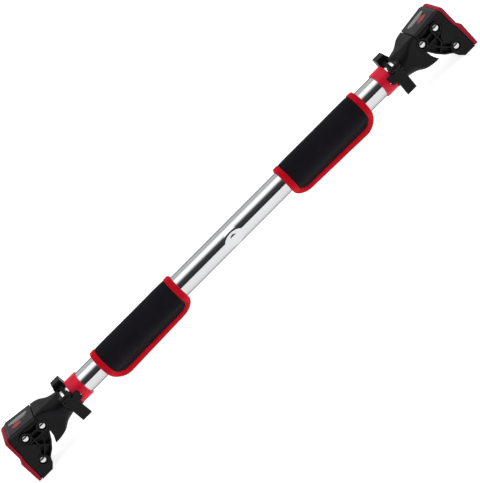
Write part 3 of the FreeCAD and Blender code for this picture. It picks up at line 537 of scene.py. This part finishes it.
def make_tape(side, sign):
    """The red tape folded round the sheet's edge, swept along it in one closed band."""
    path = rim_path()
    points, uvs = [], []
    run = 0.0
    for index, ((along, across), (in_x, in_y)) in enumerate(path):
        last = path[index - 1][0]
        if index:
            run += math.hypot(along - last[0], across - last[1])
        width = tape_width(across)
        pucker = TAPE_PUCKER * math.sin(run * 2 * math.pi / PUCKER_PITCH)
        for place, (inwards, off) in enumerate(TAPE_SECTION):
            depth = inwards * 0.001 * (width if inwards > 0 else 1.0)
            lift = off * 0.001
            if place in (1, 2, 3):
                lift += pucker
            points.append(on_sheet(along + in_x * depth, across + in_y * depth, lift))
            uvs.append((run, inwards * 0.001 + off * 0.001))
    faces = ring_faces(len(path), len(TAPE_SECTION), close_rows=True)
    piece = make_mesh(f"{side}_edge_tape", mirror_points(points, sign), faces, BINDING, uvs)
    face_outward(piece)
    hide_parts(f"{side}_grip_binding")
    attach(piece, "tube")


def make_stitches(side, sign):
    """Lockstitches along the tape's inner edge, each a small rounded thread."""
    path = rim_path()
    points, faces, uvs = [], [], []
    run, following = 0.0, 0.0
    for index in range(1, len(path)):
        (along, across), (in_x, in_y) = path[index]
        before = path[index - 1][0]
        step = math.hypot(along - before[0], across - before[1])
        while following <= run + step:
            share = (following - run) / step
            u = before[0] + (along - before[0]) * share
            v = before[1] + (across - before[1]) * share
            width = tape_width(v)
            u, v = u + in_x * SEAM_INSET * width, v + in_y * SEAM_INSET * width
            add_stitch(points, faces, uvs, (u, v), (-in_y, in_x), (in_x, in_y))
            following += STITCH_PITCH
        run += step
    piece = make_mesh(f"{side}_stitches", mirror_points(points, sign), faces, THREAD, uvs)
    face_outward(piece)
    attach(piece, "tube")


def add_stitch(points, faces, uvs, centre, forward, inward):
    """Add one stitch: rings of points along it, sunk into the tape at its ends."""
    start = len(points)
    rings, corners = 5, 6
    for ring in range(rings):
        share = ring / (rings - 1) * 2 - 1
        fat = STITCH_RADIUS * math.sqrt(max(0.04, 1 - share * share * 0.96))
        lift = SEAM_LIFT + STITCH_ARCH * (1 - share * share) - STITCH_SINK * abs(share) ** 3
        ahead = share * STITCH_HALF
        for corner in range(corners):
            angle = 2 * math.pi * corner / corners
            side_step = fat * math.cos(angle)
            u = centre[0] + forward[0] * ahead + inward[0] * side_step
            v = centre[1] + forward[1] * ahead + inward[1] * side_step
            points.append(on_sheet(u, v, lift + fat * math.sin(angle)))
            uvs.append((ahead, side_step))
    faces += ring_faces(rings, corners, start=start)
    faces.append(tuple(range(start, start + corners)))
    faces.append(tuple(range(start + corners * (rings - 1), start + corners * rings)))


STRIP_INSET = 0.0065          # from the sheet's edge to the fastener strip
STRIP_WIDTH = 0.0085
PILE = 0.00015                # height of its fuzz, and half the least gap between the strips


def make_fastener(side, sign, part, front):
    """Half of the touch fastener: a pad between the flap's inner face and the tail's plane."""
    columns, rows = 60, 8
    low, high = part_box(f"{side}_{part}")
    margin = min(abs(low[0]), abs(high[0])) - GRIP_START
    points, uvs = [], []
    for layer in (0, 1):
        for row in range(rows + 1):
            across = STRIP_INSET + STRIP_WIDTH * row / rows
            across = across if front else SHEET_LENGTH - across
            for column in range(columns + 1):
                along = margin + (GRIP_LENGTH - 2 * margin) * column / columns
                place = on_sheet(along, across, -FOAM_HALF * 0.97)
                if layer:
                    fuzz = PILE * noise.noise(Vector((along * 900, across * 900, 7.0)))
                    nearer = PILE + abs(fuzz)
                    place = (place[0], math.copysign(min(abs(place[1]), nearer), place[1]),
                             place[2])
                points.append(place)
                uvs.append((along, across))
    piece = make_mesh(f"{side}_{part}_pile", mirror_points(points, sign),
                      slab_faces(columns, rows), FASTENER, uvs)
    face_outward(piece)
    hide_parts(f"{side}_{part}")
    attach(piece, "tube")


for side, sign in SIDES:
    make_foam(side, sign)
    make_tape(side, sign)
    make_stitches(side, sign)
    make_fastener(side, sign, "hook_strip", True)
    make_fastener(side, sign, "loop_strip", False)


# ---------------------------------------------------------------- tube and spindles
TUBE_BORE = 0.0135
TUBE_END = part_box("main_tube")[1][0]
DISH_DEPTH = 0.00185          # how far the middle of the tube's front is pressed in
DISH_FLAT = 0.0054            # radius of the dish's flat floor, under the rivet's head
DISH_REACH = 0.0138           # radius at which the dish has faded out


def pressed(along, angle, radius):
    """Point of the tube's wall at an angle up from the front, with the dish pressed in."""
    y, z = -radius * math.cos(angle), radius * math.sin(angle)
    floor = DISH_DEPTH - radius
    away = math.hypot(along, TUBE_RADIUS * angle)
    flank = max(0.0, min(1.0, (away - DISH_FLAT) / (DISH_REACH - DISH_FLAT)))
    share = (1.0 - flank ** 2) ** 1.5
    return (along, y + (floor - y) * share, z)


def tube_stations():
    """Places along the tube: wide apart, and close together over the dish."""
    coarse, fine = 24, 64
    steps = [TUBE_END + (DISH_REACH - TUBE_END) * step / coarse for step in range(coarse)]
    middle = [DISH_REACH * (1 - 2 * step / fine) for step in range(fine + 1)]
    return steps + middle + [-step for step in reversed(steps)]


def make_skin():
    """The chromed tube as one smooth closed wall, in place of its faceted dish."""
    stations = tube_stations()
    columns = 180
    points = []
    for radius in (TUBE_RADIUS, TUBE_BORE):
        for along in stations:
            for column in range(columns):
                angle = 2 * math.pi * column / columns
                angle = angle - 2 * math.pi if angle > math.pi else angle
                points.append(pressed(along, angle, radius))
    rows = len(stations)
    faces = ring_faces(rows, columns) + ring_faces(rows, columns, start=rows * columns)
    for row in (0, rows - 1):
        faces += bridge_faces(row * columns, (rows + row) * columns, columns)
    piece = make_mesh("tube_wall", points, faces, CHROME)
    face_outward(piece)
    piece.data.set_sharp_from_angle(angle=math.radians(40))
    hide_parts("main_tube")
    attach(piece, "tube")


THREAD_PITCH = 0.006
THREAD_DEPTH = 0.0014
THREAD_ROOT = 0.36            # share of the pitch taken by the root
THREAD_FLANK = 0.28           # and by the two flanks together
SPINDLE_RADIUS = 0.012
SPINDLE_BORE = 0.0085
SPINDLE_FLAT = 0.0108         # half the distance across the two flats


def thread_height(phase):
    """Height of a trapezoidal thread over one pitch, from 0 at the root to 1 on the crest."""
    wave = abs((phase % 1.0) - 0.5) * 2
    return smooth_step((wave - THREAD_ROOT) / THREAD_FLANK)


def make_thread(side, sign):
    """Hollow spindle with its thread; the two ends have opposite hands."""
    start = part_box("right_spindle")[0][0]
    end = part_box("right_spindle")[1][0]
    rows, columns = 380, 60
    points = []
    for row in range(rows + 1):
        along = start + (end - start) * row / rows
        for column in range(columns):
            angle = 2 * math.pi * column / columns
            height = thread_height(along / THREAD_PITCH + column / columns)
            radius = SPINDLE_RADIUS - THREAD_DEPTH * (1 - height)
            y, z = radius * math.cos(angle), radius * math.sin(angle)
            points.append((along, max(-SPINDLE_FLAT, min(SPINDLE_FLAT, y)), z))
    first_bore = len(points)
    for along in (start, end):
        for column in range(columns):
            angle = 2 * math.pi * column / columns
            points.append((along, SPINDLE_BORE * math.cos(angle),
                           SPINDLE_BORE * math.sin(angle)))
    faces = ring_faces(rows + 1, columns) + ring_faces(2, columns, start=first_bore)
    faces += bridge_faces(0, first_bore, columns)
    faces += bridge_faces(rows * columns, first_bore + columns, columns)
    piece = make_mesh(f"{side}_thread", mirror_points(points, sign), faces, THREAD_CHROME)
    face_outward(piece)
    piece.data.set_sharp_from_angle(angle=math.radians(50))
    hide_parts(f"{side}_spindle")
    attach(piece, f"{side}_foot")


# prints on the label: name, centre along and across, half length, half width, material
PRINTS = [
    ("title_bar", 0.50, 0.0060, 0.0136, 0.0033, PRINT),
    ("line_bar", 0.44, 0.0012, 0.0095, 0.0008, PRINT),
    ("mark", 0.62, -0.0056, 0.0072, 0.0040, RED_PRINT),
]
PANEL_THICK = 0.0006          # of the label's film
PRINT_THICK = 0.00012
SQUARISH = 2 / 3.2            # power of the bars' outline; 1 is an ellipse, less is squarer
POINTED = 1.3                 # power of the lozenge's outline


def make_prints(side, sign):
    """A plain generic print on the label: two grey bars and a red lozenge."""
    low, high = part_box("right_label_panel")
    rise, run = high[2] - low[2] - PANEL_THICK, high[0] - low[0]
    slope = math.atan2(rise, run)
    top = Vector((low[0], 0, low[2] + PANEL_THICK))
    forward = Vector((math.cos(slope), 0, math.sin(slope)))
    out = Vector((-math.sin(slope), 0, math.cos(slope)))
    count = 40
    for name, share, across, half_long, half_wide, material in PRINTS:
        power = POINTED if name == "mark" else SQUARISH
        centre = top + forward * (run * share) + Vector((0, across, 0))
        points = []
        for lift in (-PRINT_THICK, PRINT_THICK):
            for step in range(count):
                angle = 2 * math.pi * step / count
                cosine, sine = math.cos(angle), math.sin(angle)
                reach = math.copysign(abs(cosine) ** power, cosine) * half_long
                width = math.copysign(abs(sine) ** power, sine) * half_wide
                points.append(tuple(centre + forward * reach + Vector((0, width, 0))
                                    + out * lift))
        faces = ring_faces(2, count)
        faces += [tuple(range(count)), tuple(range(count, 2 * count))]
        piece = make_mesh(f"{side}_{name}", mirror_points(points, sign), faces, material,
                          smooth=False)
        face_outward(piece)
        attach(piece, f"{side}_foot")


make_skin()
for side, sign in SIDES:
    make_thread(side, sign)
    make_prints(side, sign)


# ---------------------------------------------------------------- camera, floor and light
ELEVATION = math.radians(26.5)
ROLL = math.radians(45.08)
DISTANCE = 1.40
FOCAL_LENGTH = 87.5
TARGET = Vector((0.0012, -0.0060, -0.0121))


def make_camera():
    """The camera, rolled so that the bar runs corner to corner."""
    data = bpy.data.cameras.new("camera")
    data.sensor_width = 36.0
    data.lens = FOCAL_LENGTH
    data.clip_start, data.clip_end = 0.05, 60.0
    camera = bpy.data.objects.new("camera", data)
    bpy.context.scene.collection.objects.link(camera)
    along = Vector((1, 0, 0))
    upward = Vector((0, math.sin(ELEVATION), math.cos(ELEVATION)))
    back = Vector((0, -math.cos(ELEVATION), math.sin(ELEVATION)))
    right = math.cos(ROLL) * along - math.sin(ROLL) * upward
    above = math.sin(ROLL) * along + math.cos(ROLL) * upward
    turn = Matrix((right, above, back)).transposed().to_4x4()
    camera.matrix_world = Matrix.Translation(TARGET + back * DISTANCE) @ turn
    bpy.context.scene.camera = camera


FLOOR_GLOW = 1.70             # the lit sweep's own light, so that shadows stay faint
FLOOR_REACH = 14.0
FLOOR_GAP = 0.0005            # below the lowest point, so that nothing touches


def make_floor():
    """Plain pale floor under the feet, with a very slight mottle."""
    height = cad_box[0][2] - FLOOR_GAP
    points = [(FLOOR_REACH * x, FLOOR_REACH * y, height)
              for x, y in ((-1, -1), (1, -1), (1, 1), (-1, 1))]
    material, tree, shader = new_material("pale_floor")
    mottle = noise_at(tree, object_place(tree), 3.0, 3.0)
    tone = ramp(tree, mottle, [(0.3, (0.49, 0.49, 0.49)), (0.7, (0.51, 0.51, 0.51))])
    tree.links.new(tone, shader.inputs["Base Color"])
    tree.links.new(tone, shader.inputs["Emission Color"])
    shader.inputs["Emission Strength"].default_value = FLOOR_GLOW
    shader.inputs["Roughness"].default_value = 0.9
    shader.inputs["Specular IOR Level"].default_value = 0.1
    floor = make_mesh("floor", points, [(0, 1, 2, 3)], material, smooth=False)


def area_light(name, place, aim, width, height, power):
    """A rectangular lamp that faces a point; sizes in metres, power in watts."""
    data = bpy.data.lights.new(name, "AREA")
    data.shape = "RECTANGLE"
    data.size, data.size_y = width, height
    data.energy = power
    light = bpy.data.objects.new(name, data)
    light.location = place
    light.rotation_mode = "QUATERNION"
    light.rotation_quaternion = (Vector(aim) - Vector(place)).to_track_quat("-Z", "Y")
    bpy.context.scene.collection.objects.link(light)


# brightness of the studio by the angle up from the front horizon, over the top and down behind
STUDIO_BANDS = [
    (0.0, 0.035), (20.0, 0.05), (44.0, 0.08), (49.0, 0.15), (54.0, 0.45), (60.0, 0.90),
    (66.0, 1.45), (104.0, 1.45), (107.0, 0.76), (180.0, 0.76),
]


def make_world():
    """A dark front, a bright strip softbox overhead and a grey back, as bands along X.

    Seen directly, beyond the floor, the studio is plain white."""
    world = bpy.data.worlds.new("studio")
    bpy.context.scene.world = world
    world.use_nodes = True
    tree = world.node_tree
    place = add_node(tree, "ShaderNodeTexCoord")
    parts = add_node(tree, "ShaderNodeSeparateXYZ")
    tree.links.new(place.outputs["Generated"], parts.inputs["Vector"])
    forward = maths(tree, "MULTIPLY", parts.outputs["Y"], -1.0)
    angle = maths(tree, "ARCTAN2", parts.outputs["Z"], forward)
    share = maths(tree, "DIVIDE", angle, math.pi)
    colour = ramp(tree, share, [(turn / 180.0, (level, level, level))
                                for turn, level in STUDIO_BANDS])
    rays = add_node(tree, "ShaderNodeLightPath")
    seen = add_node(tree, "ShaderNodeMix", data_type="RGBA")
    seen.inputs["B"].default_value = (1.0, 1.0, 1.0, 1.0)
    tree.links.new(rays.outputs["Is Camera Ray"], seen.inputs["Factor"])
    tree.links.new(colour, seen.inputs["A"])
    tree.links.new(seen.outputs["Result"], tree.nodes["Background"].inputs["Color"])
    tree.nodes["Background"].inputs["Strength"].default_value = 1.0


make_camera()
make_floor()
make_world()
area_light("overhead", (0.0, -0.1, 1.9), (0, 0, 0), 2.6, 1.0, 3.0)
area_light("back_fill", (0.0, 1.8, 1.2), (0, 0, 0), 2.4, 0.9, 1.0)
bpy.context.scene.view_settings.view_transform = "Standard"
